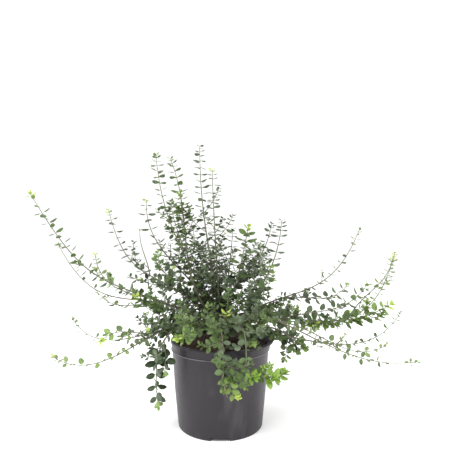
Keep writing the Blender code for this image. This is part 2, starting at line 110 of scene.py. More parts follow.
def blotches_group():
    """Soft blotches of a second colour over a first one, stretched along one axis where asked."""
    group = bpy.data.node_groups.new("blotches", "ShaderNodeTree")
    socket(group, "Colour", "NodeSocketColor", "INPUT", (0.5, 0.5, 0.5, 1))
    socket(group, "Blotch Colour", "NodeSocketColor", "INPUT", (0.3, 0.3, 0.3, 1))
    socket(group, "Blotches Per Metre", "NodeSocketFloat", "INPUT", 100.0)
    socket(group, "Stretch", "NodeSocketVector", "INPUT", (1.0, 1.0, 1.0))
    socket(group, "Spread", "NodeSocketFloat", "INPUT", 0.5)
    socket(group, "Colour", "NodeSocketColor", "OUTPUT")
    tree, link = group.nodes, group.links.new
    entry = tree.new("NodeGroupInput")
    result = tree.new("NodeGroupOutput")
    cloud = stretched_cloud(group, entry, "Blotches Per Metre", 3)
    edge = tree.new("ShaderNodeMapRange")
    low = tree.new("ShaderNodeMath")
    low.operation = "SUBTRACT"
    low.inputs[0].default_value = BLOTCH_LOW
    mix = tree.new("ShaderNodeMix")
    mix.data_type = "RGBA"
    link(entry.outputs["Spread"], low.inputs[1])
    link(low.outputs[0], edge.inputs["From Min"])
    edge.inputs["From Max"].default_value = BLOTCH_HIGH
    link(cloud.outputs["Fac"], edge.inputs["Value"])
    link(edge.outputs[0], mix.inputs["Factor"])
    link(entry.outputs["Colour"], mix.inputs["A"])
    link(entry.outputs["Blotch Colour"], mix.inputs["B"])
    link(mix.outputs["Result"], result.inputs["Colour"])
    return group


def grain_group():
    """Fine grain: a height for the bump, and a roughness that varies with it."""
    group = bpy.data.node_groups.new("grain", "ShaderNodeTree")
    socket(group, "Grains Per Metre", "NodeSocketFloat", "INPUT", 1000.0)
    socket(group, "Stretch", "NodeSocketVector", "INPUT", (1.0, 1.0, 1.0))
    socket(group, "Smoothest", "NodeSocketFloat", "INPUT", 0.4)
    socket(group, "Roughest", "NodeSocketFloat", "INPUT", 0.6)
    socket(group, "Height", "NodeSocketFloat", "OUTPUT")
    socket(group, "Roughness", "NodeSocketFloat", "OUTPUT")
    tree, link = group.nodes, group.links.new
    entry = tree.new("NodeGroupInput")
    result = tree.new("NodeGroupOutput")
    cloud = stretched_cloud(group, entry, "Grains Per Metre", 4)
    spread = tree.new("ShaderNodeMapRange")
    spread.inputs["From Min"].default_value = GRAIN_LOW
    spread.inputs["From Max"].default_value = GRAIN_HIGH
    link(cloud.outputs["Fac"], spread.inputs["Value"])
    link(entry.outputs["Smoothest"], spread.inputs["To Min"])
    link(entry.outputs["Roughest"], spread.inputs["To Max"])
    link(cloud.outputs["Fac"], result.inputs["Height"])
    link(spread.outputs[0], result.inputs["Roughness"])
    return group


BLOTCHES = blotches_group()
GRAIN = grain_group()


def placed(tree, group, values):
    """Places a node group in a material, with the values of its inputs by name."""
    node = tree.new("ShaderNodeGroup")
    node.node_tree = group
    for name, value in values.items():
        node.inputs[name].default_value = value
    return node


def finish_of(name, colour, second, blotches, grains, rough, stretch=(1, 1, 1)):
    """A material: blotches of a second colour over grain.

    blotches is their count per metre and softness, grains is their count per metre and the bump's depth in
    metres, and rough is the least and the most roughness.
    """
    material = bpy.data.materials.new(name)
    material.use_nodes = True
    tree, link = material.node_tree.nodes, material.node_tree.links.new
    shader = tree["Principled BSDF"]
    tint = placed(tree, BLOTCHES, {
        "Colour": (*colour, 1), "Blotch Colour": (*second, 1), "Blotches Per Metre": blotches[0],
        "Spread": blotches[1], "Stretch": stretch,
    })
    grain = placed(tree, GRAIN, {
        "Grains Per Metre": grains[0], "Stretch": stretch, "Smoothest": rough[0], "Roughest": rough[1],
    })
    bump = tree.new("ShaderNodeBump")
    bump.inputs["Distance"].default_value = grains[1]
    bump.inputs["Strength"].default_value = BUMP_STRENGTH
    link(tint.outputs["Colour"], shader.inputs["Base Color"])
    link(grain.outputs["Roughness"], shader.inputs["Roughness"])
    link(grain.outputs["Height"], bump.inputs["Height"])
    link(bump.outputs["Normal"], shader.inputs["Normal"])
    return material


def toward(azimuth, slope):
    """The direction with this azimuth and slope, in degrees."""
    a, s = math.radians(azimuth), math.radians(slope)
    return Vector((math.cos(a) * math.cos(s), math.sin(a) * math.cos(s), math.sin(s)))


def new_object(name, mesh, smooth_angle=None):
    piece = bpy.data.objects.new(name, mesh)
    bpy.context.scene.collection.objects.link(piece)
    if smooth_angle is not None:
        mesh.shade_smooth()
        mesh.set_sharp_from_angle(angle=math.radians(smooth_angle))
    return piece


def spun(name, outline, sides):
    """A turned mesh whose outline starts and ends on the axis."""
    shape = bmesh.new()
    corners = [shape.verts.new((radius, 0, height)) for radius, height in outline]
    edges = [shape.edges.new(pair) for pair in zip(corners, corners[1:])]
    bmesh.ops.spin(
        shape,
        geom=corners + edges,
        cent=(0, 0, 0),
        axis=(0, 0, 1),
        angle=2 * math.pi,
        steps=sides,
        use_merge=True,
    )
    bmesh.ops.remove_doubles(shape, verts=shape.verts, dist=1e-6)
    bmesh.ops.recalc_face_normals(shape, faces=shape.faces)
    mesh = bpy.data.meshes.new(name)
    shape.to_mesh(mesh)
    shape.free()
    return mesh


def rounded(outline, radius):
    """The outline with each inner corner turned into a short arc of three points."""
    soft = [outline[0]]
    for before, corner, after in zip(outline, outline[1:], outline[2:]):
        a, b, c = (Vector((*p, 0)) for p in (before, corner, after))
        reach = min(radius, (a - b).length * 0.4, (c - b).length * 0.4)
        start = b + (a - b).normalized() * reach
        end = b + (c - b).normalized() * reach
        middle = (start + end + b * 2) / 4
        soft += [tuple(start.xy), tuple(middle.xy), tuple(end.xy)]
    return soft + [outline[-1]]


def push_rim(mesh):
    """Moves the band and lip sideways, bends a short stretch out and up, and waves the edge a little."""
    for corner in mesh.vertices:
        share = (corner.co.z - BAND_STEP_HEIGHT) / (POT_HEIGHT - BAND_STEP_HEIGHT)
        if share <= 0:
            continue
        azimuth = math.degrees(math.atan2(corner.co.y, corner.co.x))
        bend = math.exp(-(((azimuth - BEND_AZIMUTH) / BEND_HALF_ANGLE) ** 2)) * share**2
        outward = Vector((corner.co.x, corner.co.y, 0)).normalized()
        corner.co += outward * BEND_OUT * bend + Vector((LIP_SHIFT * share, 0, BEND_UP * bend))
        wave = noise.noise(Vector((math.radians(azimuth) * RIM_WAVES, share, 0)))
        corner.co += outward * wave * share * RIM_WAVE_DEPTH


lip_low = POT_HEIGHT - LIP_THICKNESS
inner_top = BAND_RADIUS - WALL
foot_inner = FOOT_RADIUS - WALL
pot_outline = [
    (0, PLATE_HEIGHT),
    (foot_inner - 0.2 * MM, PLATE_HEIGHT),
    (foot_inner, 0),
    (FOOT_RADIUS, 0),
    (FOOT_RADIUS + 0.7 * MM, 1.5 * MM),
    (FOOT_RADIUS + 1 * MM, PLATE_HEIGHT),
    (FOOT_RADIUS + 1 * MM + (BODY_TOP_RADIUS - FOOT_RADIUS) / 2, BAND_STEP_HEIGHT / 2),
    (BODY_TOP_RADIUS, BAND_STEP_HEIGHT - 0.6 * MM),
    (BAND_RADIUS, BAND_STEP_HEIGHT - 0.2 * MM),
    (BAND_RADIUS + 0.2 * MM, BAND_STEP_HEIGHT + 0.8 * MM),
    (BAND_RADIUS - 0.2 * MM, BAND_STEP_HEIGHT + 2 * MM),
    (BAND_RADIUS, lip_low),
    (LIP_RADIUS, lip_low + 0.3 * MM),
    (LIP_RADIUS, POT_HEIGHT - 0.5 * MM),
    (LIP_RADIUS - 0.5 * MM, POT_HEIGHT),
    (inner_top, POT_HEIGHT),
    (inner_top - 0.4 * MM, BAND_STEP_HEIGHT + WALL),
    (BODY_TOP_RADIUS - WALL, BAND_STEP_HEIGHT - 2 * WALL),
    (foot_inner + 1 * MM, PLATE_HEIGHT + 2 * WALL),
    (foot_inner - 0.4 * MM, PLATE_HEIGHT + WALL),
    (0, PLATE_HEIGHT + WALL),
]
pot_mesh = spun("pot_shell", rounded(pot_outline, 0.35 * MM), POT_SIDES)
push_rim(pot_mesh)
pot = new_object("pot_shell", pot_mesh)
cutters = []
for notch in range(NOTCH_COUNT):
    azimuth = FRONT + notch * 360 / NOTCH_COUNT
    bpy.ops.mesh.primitive_cube_add(size=1)
    cutter = bpy.context.object
    cutter.scale = (NOTCH_CUT, NOTCH_WIDTH, 2 * NOTCH_HEIGHT)
    cutter.location = toward(azimuth, 0) * FOOT_RADIUS
    cutter.rotation_euler.z = math.radians(azimuth)
    cutters.append(cutter)
for drain in range(DRAIN_COUNT):
    azimuth = FIRST_DRAIN + drain * 360 / DRAIN_COUNT
    bpy.ops.mesh.primitive_cylinder_add(vertices=24, radius=DRAIN_RADIUS, depth=4 * WALL)
    cutter = bpy.context.object
    cutter.location = toward(azimuth, 0) * DRAIN_CIRCLE + Vector((0, 0, PLATE_HEIGHT + WALL / 2))
    cutters.append(cutter)
for cutter in cutters:
    cut = pot.modifiers.new("cut", "BOOLEAN")
    cut.operation = "DIFFERENCE"
    cut.solver = "EXACT"
    cut.object = cutter
bpy.context.view_layer.update()
cut_mesh = bpy.data.meshes.new_from_object(pot.evaluated_get(bpy.context.evaluated_depsgraph_get()))
pot.modifiers.clear()
pot.data = cut_mesh
for cutter in cutters:
    bpy.data.objects.remove(cutter)
cut_mesh.shade_smooth()
cut_mesh.set_sharp_from_angle(angle=math.radians(40))

POT_GREY = (0.0155, 0.0120, 0.0165)
POT_SCUFF = (0.036, 0.031, 0.038)
POT_SHINE = 0.36
pot_plastic = finish_of(
    "dark_grey_plastic", POT_GREY, POT_SCUFF,
    blotches=(40, 0.1), grains=(900, 0.00012), rough=(0.34, 0.5), stretch=(1, 1, 0.22),
)
pot_plastic.node_tree.nodes["Principled BSDF"].inputs["Specular IOR Level"].default_value = POT_SHINE
cut_mesh.materials.clear()
cut_mesh.materials.append(pot_plastic)
# A thin strip of faces round the band's step gets a pale grey finish: a painted highlight along the small
# ledge there, standing in for the light it catches, with darker blotches in it
LEDGE_HALF_HEIGHT = 0.85 * MM
LEDGE_HIGHLIGHT_GREY = (0.12, 0.112, 0.12)
LEDGE_HIGHLIGHT_BLOTCH = (0.05, 0.046, 0.05)
ledge_highlight_paint = finish_of(
    "painted_ledge_highlight", LEDGE_HIGHLIGHT_GREY, LEDGE_HIGHLIGHT_BLOTCH, blotches=(60, 0.12), grains=(900, 0.0001), rough=(0.45, 0.6),
)
cut_mesh.materials.append(ledge_highlight_paint)
# Outer faces at the step's height take the painted highlight
for face in cut_mesh.polygons:
    above_step = face.center.z - BAND_STEP_HEIGHT
    if abs(above_step) < LEDGE_HALF_HEIGHT and face.center.xy.length > BODY_TOP_RADIUS - 0.2 * MM:
        face.material_index = 1
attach(pot, "root")
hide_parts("pot")


# Soil
# A growing mix of peat and fine bark that fills the pot to 10 mm under its lip at the wall and rises to a
# low mound in the middle. Red-brown bark chips and crumbs lie loose over the darker peat.
SOIL_TOP = 126 * MM
SOIL_EDGE = 114 * MM
SOIL_RADIUS = BODY_TOP_RADIUS - WALL - 0.6 * MM
SOIL_RINGS = 46
SOIL_SIDES = 150
RING_CROWDING = 0.8
MOUND_POWER = 2.6

# The height of the crumbs and lumps, and how far the surface lies below the mound, in millimetres
CRUMB_RELIEF = 0.9
LUMP_RELIEF = 1.2
SOIL_SUNK = 1.0


def soil_height(x, y):
    """The soil's top at this place: a low mound with crumbs and small hollows."""
    share = min(1.0, math.hypot(x, y) / SOIL_RADIUS)
    mound = SOIL_TOP - (SOIL_TOP - SOIL_EDGE) * share**MOUND_POWER
    crumbs = noise.fractal(Vector((x, y, 0)) * 160, 1.0, 2.0, 4)
    lumps = noise.noise(Vector((x, y, 7)) * 45)
    return mound + (crumbs * CRUMB_RELIEF + lumps * LUMP_RELIEF - SOIL_SUNK) * MM


soil_points = [(0, 0, soil_height(0, 0))]
soil_faces = []
for ring in range(1, SOIL_RINGS + 1):
    radius = SOIL_RADIUS * (ring / SOIL_RINGS) ** RING_CROWDING
    for side in range(SOIL_SIDES):
        turn = 2 * math.pi * side / SOIL_SIDES
        x, y = radius * math.cos(turn), radius * math.sin(turn)
        soil_points.append((x, y, soil_height(x, y)))
soil_foot = foot_inner - 1 * MM
for side in range(SOIL_SIDES):
    turn = 2 * math.pi * side / SOIL_SIDES
    x, y = soil_foot * math.cos(turn), soil_foot * math.sin(turn)
    soil_points.append((x, y, PLATE_HEIGHT + WALL + 0.3 * MM))
for side in range(SOIL_SIDES):
    following = (side + 1) % SOIL_SIDES
    soil_faces.append((0, 1 + side, 1 + following))
    for ring in range(SOIL_RINGS):
        inner = 1 + ring * SOIL_SIDES
        outer = inner + SOIL_SIDES
        soil_faces.append((inner + side, outer + side, outer + following, inner + following))
last_ring = 1 + SOIL_RINGS * SOIL_SIDES
soil_faces.append(tuple(reversed(range(last_ring, last_ring + SOIL_SIDES))))
soil_mesh = bpy.data.meshes.new("soil_bed")
soil_mesh.from_pydata(soil_points, [], soil_faces)
soil = new_object("soil_bed", soil_mesh, 60)
PEAT_BROWN = (0.030, 0.017, 0.011)
BARK_RED = (0.085, 0.032, 0.020)
peat = finish_of(
    "peat", PEAT_BROWN, BARK_RED, blotches=(420, 0.14), grains=(1500, 0.0008), rough=(0.8, 1.0),
)
soil_mesh.materials.append(peat)
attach(soil, "root")
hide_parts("soil")

CHIP_COUNT = 620
CHIP_SEED = 5
CHIP_SIDES = 5
CHIP_TILT = 0.35
CHIP_TAPER = 0.15
CHIP_EDGES = (0.75, 1.1)
CHIP_SPANS = ((1.2, 4.2), (0.8, 2.2), (0.3, 0.9))  # length, width and thickness in millimetres
CHIP_BROWN = (0.095, 0.040, 0.024)
CHIP_SHADE = (0.035, 0.020, 0.014)
chip_rng = random.Random(CHIP_SEED)
chip_points, chip_faces = [], []
for _ in range(CHIP_COUNT):
    out = SOIL_RADIUS * 0.97 * math.sqrt(chip_rng.random())
    turn = chip_rng.uniform(0, 2 * math.pi)
    x, y = out * math.cos(turn), out * math.sin(turn)
    centre = Vector((x, y, soil_height(x, y) + 0.3 * MM))
    long, wide, thick = (chip_rng.uniform(*span) * MM for span in CHIP_SPANS)
    heading = Matrix.Rotation(chip_rng.uniform(0, math.pi), 3, "Z")
    tumble = heading @ Matrix.Rotation(chip_rng.gauss(0, CHIP_TILT), 3, "X")
    first = len(chip_points)
    for level in (-1, 1):
        for side in range(CHIP_SIDES):
            around = 2 * math.pi * side / CHIP_SIDES
            edge = chip_rng.uniform(*CHIP_EDGES) * (1 - CHIP_TAPER * level)
            ahead, aside = long * math.cos(around) * edge, wide * math.sin(around) * edge
            chip_points.append(centre + tumble @ (Vector((ahead, aside, thick * level)) / 2))
    upper = first + CHIP_SIDES
    chip_faces.append(tuple(first + side for side in reversed(range(CHIP_SIDES))))
    chip_faces.append(tuple(upper + side for side in range(CHIP_SIDES)))
    for side in range(CHIP_SIDES):
        after = (side + 1) % CHIP_SIDES
        chip_faces.append((first + side, first + after, upper + after, upper + side))
chip_mesh = bpy.data.meshes.new("bark_chips")
chip_mesh.from_pydata([tuple(p) for p in chip_points], [], chip_faces)
chips = new_object("bark_chips", chip_mesh)
chip_mesh.materials.append(finish_of(
    "bark_chip", CHIP_BROWN, CHIP_SHADE, blotches=(260, 0.1), grains=(2600, 0.0004), rough=(0.7, 0.95),
))
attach(chips, "root")


# Root crown and limbs
# The short woody stem where every shoot starts, and the bare inner part of each long shoot. Both have thin
# grey-brown bark with small ridges and dark patches, and the limbs leave a rounded head on the stem.
STEM_RADIUS = 7.2 * MM
FLARE_RADIUS = 9.2 * MM
HEAD_RADIUS = 10 * MM
HEAD_CENTRE = Vector((0, 0, 142 * MM))
CROWN_SIDES = 40
CROWN_SUNK = 3 * MM
CROWN_RIDGES = 0.9  # millimetres
LEAST_LIMB_ANGLE = 21
LOWEST_LIMB = -8
SPREAD_ROUNDS = 400
JOINT_SWELLING = 0.22
LIMB_RADIUS = 1.5 * MM
FORK_RADIUS = 1.2 * MM

# A shoot: the azimuth, reach and height of its tip in degrees and millimetres, its slope where it leaves and
# where it ends, its habit, for a branch where it leaves, and how strongly both ends hold their slope
Shoot = namedtuple("Shoot", "azimuth reach height launch finish habit leaves_at pull", defaults=(0.0, 0.4))

# A mass: the share of its main shoot that is a bare limb, and its main shoot with the branches on it
Mass = namedtuple("Mass", "bare_share shoots")

MASSES = {
    "far_left": Mass(0.22, [
        Shoot(184, 274, 337, 25, 60, "arching", pull=0.55),
        Shoot(200, 178, 251, 15, 85, "pale_arching", 0.3),
    ]),
    "bare_left": Mass(0.22, [
        Shoot(170, 261, 261, 25, 60, "bare", pull=0.55),
        Shoot(162, 212, 184, 0, 50, "sparse", 0.3),
    ]),
    "slant_left": Mass(0.0, [
        Shoot(173, 172, 313, 35, 75, "ladder", pull=0.55),
        Shoot(169, 126, 282, 80, 92, "hair", 0.5),
    ]),
    "rise_left": Mass(0.0, [
        Shoot(188, 108, 327, 60, 92, "ladder"),
        Shoot(216, 103, 253, 10, 88, "leafy", 0.32),
    ]),
    "tall_left": Mass(0.0, [
        Shoot(156, 112, 403, 60, 85, "upright"),
        Shoot(141, 104, 332, 70, 85, "upright", 0.4),
    ]),
    "tall_left_front": Mass(0.0, [
        Shoot(199, 75, 385, 50, 68, "upright"),
        Shoot(215, 67, 336, 85, 90, "leafy", 0.5),
    ]),
    "tall_middle": Mass(0.0, [
        Shoot(154, 35, 410, 85, 90, "plain_ladder"),
        Shoot(129, 71, 289, 50, 80, "ladder", 0.15),
    ]),
    "tall_right": Mass(0.0, [Shoot(249, 32, 369, 85, 85, "ladder")]),
    "middle_back": Mass(0.0, [
        Shoot(73, 68, 284, 55, 70, "plain_ladder"),
        Shoot(110, 75, 242, 35, 70, "leafy", 0.3),
    ]),
    "bright_right": Mass(0.0, [Shoot(328, 47, 288, 72, 78, "bright")]),
    "rise_right": Mass(0.0, [
        Shoot(24, 87, 293, 80, 78, "plain_ladder", pull=0.5),
        Shoot(42, 89, 259, 40, 75, "leafy", 0.3),
    ]),
    "rise_right_front": Mass(0.0, [
        Shoot(338, 93, 297, 35, 85, "plain_ladder"),
        Shoot(318, 92, 236, 10, 70, "leafy", 0.2),
    ]),
    "long_right": Mass(0.24, [
        Shoot(15, 231, 283, 20, 65, "sparse", pull=0.5),
        Shoot(20, 222, 193, 5, 45, "sprig", 0.35),
    ]),
    "far_right": Mass(0.22, [
        Shoot(4, 265, 248, 10, 75, "pale_arching", pull=0.55),
        Shoot(11, 280, 239, 55, 75, "pale_arching", 0.6),
    ]),
    "dense_right": Mass(0.22, [
        Shoot(348, 239, 183, 15, 35, "rich"),
        Shoot(340, 207, 213, 20, 60, "sprig", 0.35),
    ]),
    "low_right": Mass(0.24, [Shoot(358, 263, 164, 5, 60, "slight")]),
    "low_right_front": Mass(0.22, [
        Shoot(322, 277, 141, 35, 20, "slight"),
        Shoot(336, 232, 139, -5, 35, "sparse", 0.35),
    ]),
    "drop_right": Mass(0.5, [
        Shoot(339, 114, 116, 10, -75, "hanging"),
        Shoot(331, 131, 127, -15, 45, "leafy", 0.7),
    ]),
    "hang_left": Mass(0.45, [
        Shoot(208, 97, 43, 20, -96, "hanging", pull=0.7),
        Shoot(218, 94, 92, -25, -88, "hanging", 0.5),
    ]),
    "low_left": Mass(0.26, [
        Shoot(208, 234, 129, 20, 40, "pale_arching"),
        Shoot(209, 176, 141, -5, -40, "arching", 0.38),
    ]),
    "low_left_back": Mass(0.26, [Shoot(174, 229, 148, 15, 55, "sparse")]),
    "rim_left": Mass(0.0, [
        Shoot(201, 111, 166, 15, 60, "leafy"),
        Shoot(193, 121, 190, 35, 60, "bright", 0.35),
    ]),
    "rim_front_left": Mass(0.0, [
        Shoot(243, 118, 150, 20, 5, "rich"),
        Shoot(236, 84, 166, 30, 45, "pale_fan", 0.4),
    ]),
    "rim_front": Mass(0.0, [Shoot(279, 58, 172, 25, 55, "bright")]),
    "rim_front_right": Mass(0.0, [
        Shoot(307, 84, 186, 5, 88, "whorled"),
        Shoot(298, 91, 136, 5, -25, "leafy", 0.4),
        Shoot(309, 84, 168, 10, 75, "fan_tip", 0.3),
    ]),
    "trail_front": Mass(0.45, [
        Shoot(273, 92, 80, 15, -88, "trailing", pull=0.85),
        Shoot(284, 96, 73, -40, -15, "tip_cluster", 0.72),
    ]),
    "trail_right": Mass(0.42, [
        Shoot(291, 94, 82, 15, -92, "sparse", pull=0.85),
        Shoot(312, 124, 104, -5, 45, "vivid", 0.86),
        Shoot(277, 93, 95, -40, 30, "leafy", 0.8),
    ]),
    "back_right": Mass(0.28, [
        Shoot(58, 178, 205, 20, 55, "arching"),
        Shoot(38, 152, 152, 0, 40, "leafy", 0.4),
    ]),
    "back_left": Mass(0.26, [
        Shoot(118, 188, 214, 20, 60, "arching"),
        Shoot(140, 158, 160, 5, 50, "leafy", 0.35),
    ]),
    "back_rise": Mass(0.0, [Shoot(92, 98, 258, 40, 75, "upright")]),
    "back_low": Mass(0.3, [Shoot(87, 172, 160, 15, 35, "leafy")]),
    "back_hang": Mass(0.45, [
        Shoot(103, 96, 58, 20, -95, "hanging", pull=0.7),
        Shoot(90, 95, 96, -25, -85, "hanging", 0.5),
    ]),
}


class Path:
    """One cubic curve, read by distance along it."""

    SAMPLES = 60
    SIDE_STEPS = 12
    FIRST_SIDE = (0.31, -0.95, 0.07)

    def __init__(self, start, start_pull, end_pull, end):
        self.controls = (start, start_pull, end_pull, end)
        self.shares = np.linspace(0, 1, self.SAMPLES + 1)
        points = [self.at_share(share) for share in self.shares]
        steps = [(b - a).length for a, b in zip(points, points[1:])]
        self.distances = np.concatenate([[0], np.cumsum(steps)])
        self.length = float(self.distances[-1])

    def at_share(self, share):
        a, b, c, d = self.controls
        rest = 1 - share
        return a * rest**3 + 3 * b * share * rest**2 + 3 * c * share**2 * rest + d * share**3

    def point(self, distance):
        return self.at_share(float(np.interp(distance, self.distances, self.shares)))

    def heading(self, distance):
        a, b, c, d = self.controls
        share = float(np.interp(distance, self.distances, self.shares))
        rest = 1 - share
        return ((b - a) * rest**2 + 2 * (c - b) * share * rest + (d - c) * share**2).normalized()

    def side(self, distance):
        """A direction across the path that turns smoothly along it."""
        across = Vector(self.FIRST_SIDE)
        for step in range(self.SIDE_STEPS + 1):
            heading = self.heading(distance * step / self.SIDE_STEPS)
            across = (across - heading * across.dot(heading)).normalized()
        return across


def spread_limbs(wanted):
    """Turns limb directions apart, a little at a time, until none starts too near its neighbour."""
    turned = [direction.copy() for direction in wanted]
    least = math.radians(LEAST_LIMB_ANGLE)
    lowest = math.sin(math.radians(LOWEST_LIMB))
    for _ in range(SPREAD_ROUNDS):
        for i, first in enumerate(turned):
            for j in range(i):
                second = turned[j]
                lack = least - first.angle(second)
                if lack > 0:
                    apart = (first - second).normalized() * lack * 0.5
                    first += apart
                    second -= apart
                    first.normalize()
                    second.normalize()
        for direction in turned:
            direction.z = max(direction.z, lowest)
            direction.normalize()
    return turned


def tip_place(shoot):
    return toward(shoot.azimuth, 0) * shoot.reach * MM + Vector((0, 0, shoot.height * MM))


def main_path(shoot, direction):
    """From the root crown's head, straight out of it, in one arch to the tip."""
    start = HEAD_CENTRE + direction * (HEAD_RADIUS - 1 * MM)
    tip = tip_place(shoot)
    hold = (tip - start).length * shoot.pull
    return Path(start, start + direction * hold, tip - toward(shoot.azimuth, shoot.finish) * hold, tip)


def branch_path(shoot, parent):
    """From a place on its parent, in one arch to the tip."""
    start = parent.point(parent.length * shoot.leaves_at)
    tip = tip_place(shoot)
    across = tip - start
    azimuth = math.degrees(math.atan2(across.y, across.x))
    hold = across.length * shoot.pull
    return Path(
        start,
        start + toward(azimuth, shoot.launch) * hold,
        tip - toward(azimuth, shoot.finish) * hold,
        tip,
    )


# How finely wood is made: its sides, the spacing of its rings and the height of its ridges
Grade = namedtuple("Grade", "sides step relief")
LIMB_GRADE = Grade(9, 1.2 * MM, 0.14 * MM)
LIMB_JOINTS = 11 * MM


class Wood:
    """Gathers tubes of wood with surface relief into one mesh."""

    def __init__(self):
        self.points = []
        self.faces = []

    def add(self, path, first, last, radii, grade, joints=0.0):
        """A tube along the path; joints is the spacing of the slight swellings where leaves leave it."""
        sides = grade.sides
        rings = max(3, math.ceil((last - first) / grade.step))
        across = path.side(first)
        start = len(self.points)
        for ring in range(rings + 1):
            share = ring / rings
            distance = first + (last - first) * share
            heading = path.heading(distance)
            across = (across - heading * across.dot(heading)).normalized()
            middle = path.point(distance)
            radius = radii[0] + (radii[1] - radii[0]) * share
            if joints:
                radius *= 1 + JOINT_SWELLING * max(0.0, math.cos(2 * math.pi * distance / joints)) ** 8
            beyond = heading.cross(across)
            for side in range(sides):
                turn = 2 * math.pi * side / sides
                out = across * math.cos(turn) + beyond * math.sin(turn)
                spot = middle + out * radius
                ridge = noise.noise(Vector((turn * 2.2, distance * 260, radius * 4000)))
                self.points.append(spot + out * ridge * grade.relief)
        for ring in range(rings):
            for side in range(sides):
                a = start + ring * sides + side
                b = start + ring * sides + (side + 1) % sides
                self.faces.append((a, b, b + sides, a + sides))
        self.faces.append(tuple(start + side for side in reversed(range(sides))))
        self.faces.append(tuple(start + rings * sides + side for side in range(sides)))

    def piece(self, name, material):
        mesh = bpy.data.meshes.new(name)
        mesh.from_pydata([tuple(point) for point in self.points], [], self.faces)
        mesh.materials.append(material)
        return new_object(name, mesh, 60)


crown_outline = [(0, SOIL_TOP - CROWN_SUNK), (FLARE_RADIUS + 1.5 * MM, SOIL_TOP - CROWN_SUNK)]
for share in np.linspace(0, 1, 14):
    flare = (FLARE_RADIUS - STEM_RADIUS) * (1 - share) ** 3
    head = (HEAD_RADIUS - STEM_RADIUS) * share**2
    crown_outline.append((STEM_RADIUS + flare + head, SOIL_TOP + (HEAD_CENTRE.z - SOIL_TOP) * share))
for slope in np.linspace(6, 84, 12):
    turn = math.radians(slope)
    crown_outline.append((HEAD_RADIUS * math.cos(turn), HEAD_CENTRE.z + HEAD_RADIUS * math.sin(turn)))
crown_outline.append((0, HEAD_CENTRE.z + HEAD_RADIUS))
crown_mesh = spun("root_crown_bark", crown_outline, CROWN_SIDES)
for corner in crown_mesh.vertices:
    outward = Vector((corner.co.x, corner.co.y, 0))
    turn = math.atan2(corner.co.y, corner.co.x)
    ridges = noise.fractal(Vector((math.cos(turn) * 3, math.sin(turn) * 3, corner.co.z * 90)), 1, 2, 4)
    if outward.length > 1 * MM:
        corner.co += outward.normalized() * ridges * CROWN_RIDGES * MM
root_crown = new_object("root_crown_bark", crown_mesh, 60)
BARK_BROWN = (0.13, 0.095, 0.065)
BARK_SHADE = (0.055, 0.038, 0.026)
bark = finish_of(
    "grey_brown_bark", BARK_BROWN, BARK_SHADE,
    blotches=(240, 0.12), grains=(1400, 0.0006), rough=(0.75, 0.95),
)
crown_mesh.materials.append(bark)
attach(root_crown, "root")
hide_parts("root_crown")

launches = [toward(mass.shoots[0].azimuth, mass.shoots[0].launch) for mass in MASSES.values()]
mains = {}
limb_wood = Wood()
for (name, mass), direction in zip(MASSES.items(), spread_limbs(launches)):
    main = main_path(mass.shoots[0], direction)
    mains[name] = main
    bare = main.length * mass.bare_share
    if bare:
        limb_wood.add(main, 0, bare + 0.5 * MM, (LIMB_RADIUS, FORK_RADIUS), LIMB_GRADE, LIMB_JOINTS)
LIMB_BROWN = (0.15, 0.14, 0.085)
LIMB_SHADE = (0.075, 0.06, 0.036)
limb_bark = finish_of(
    "limb_bark", LIMB_BROWN, LIMB_SHADE, blotches=(300, 0.12), grains=(2200, 0.0003), rough=(0.65, 0.85),
)
limbs = limb_wood.piece("limbs_bark", limb_bark)
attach(limbs, "root")
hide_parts(*[name for name in sorted(nodes) if name.startswith("limb_")])


# Shoots and twigs
# Thin wiry wood that carries the leaves: grey-brown on its older part, grey-green towards the tips, with a
# slight swelling at each pair of leaves. Short side twigs leave the older wood and bend up to the light.
BRANCH_RADIUS = 0.95 * MM
TWIG_RADIUS = 0.62 * MM
TIP_RADIUS = 0.42 * MM
OLDER_GRADE = Grade(7, 2.5 * MM, 0.06 * MM)
YOUNG_GRADE = Grade(6, 3 * MM, 0.03 * MM)
TWIG_GRADE = Grade(5, 4 * MM, 0.02 * MM)
TWIG_SPREAD = 52
TWIG_RISE = 0.9
TWIG_PULL = 0.3
TWIG_BARE = 0.12
TWIG_LENGTHS = (0.5, 1.0)
TWIG_STEPS = (0.8, 1.2)
TWIG_ZONE = 0.66
RICH_TWIG_ZONE = 0.9
FIRST_TWIG = 32 * MM
BARE_BASE = 12 * MM
TRAILING_BASE = 0.15 * BARE_BASE
BENT_SIDE = 20 * MM
SEED = 11

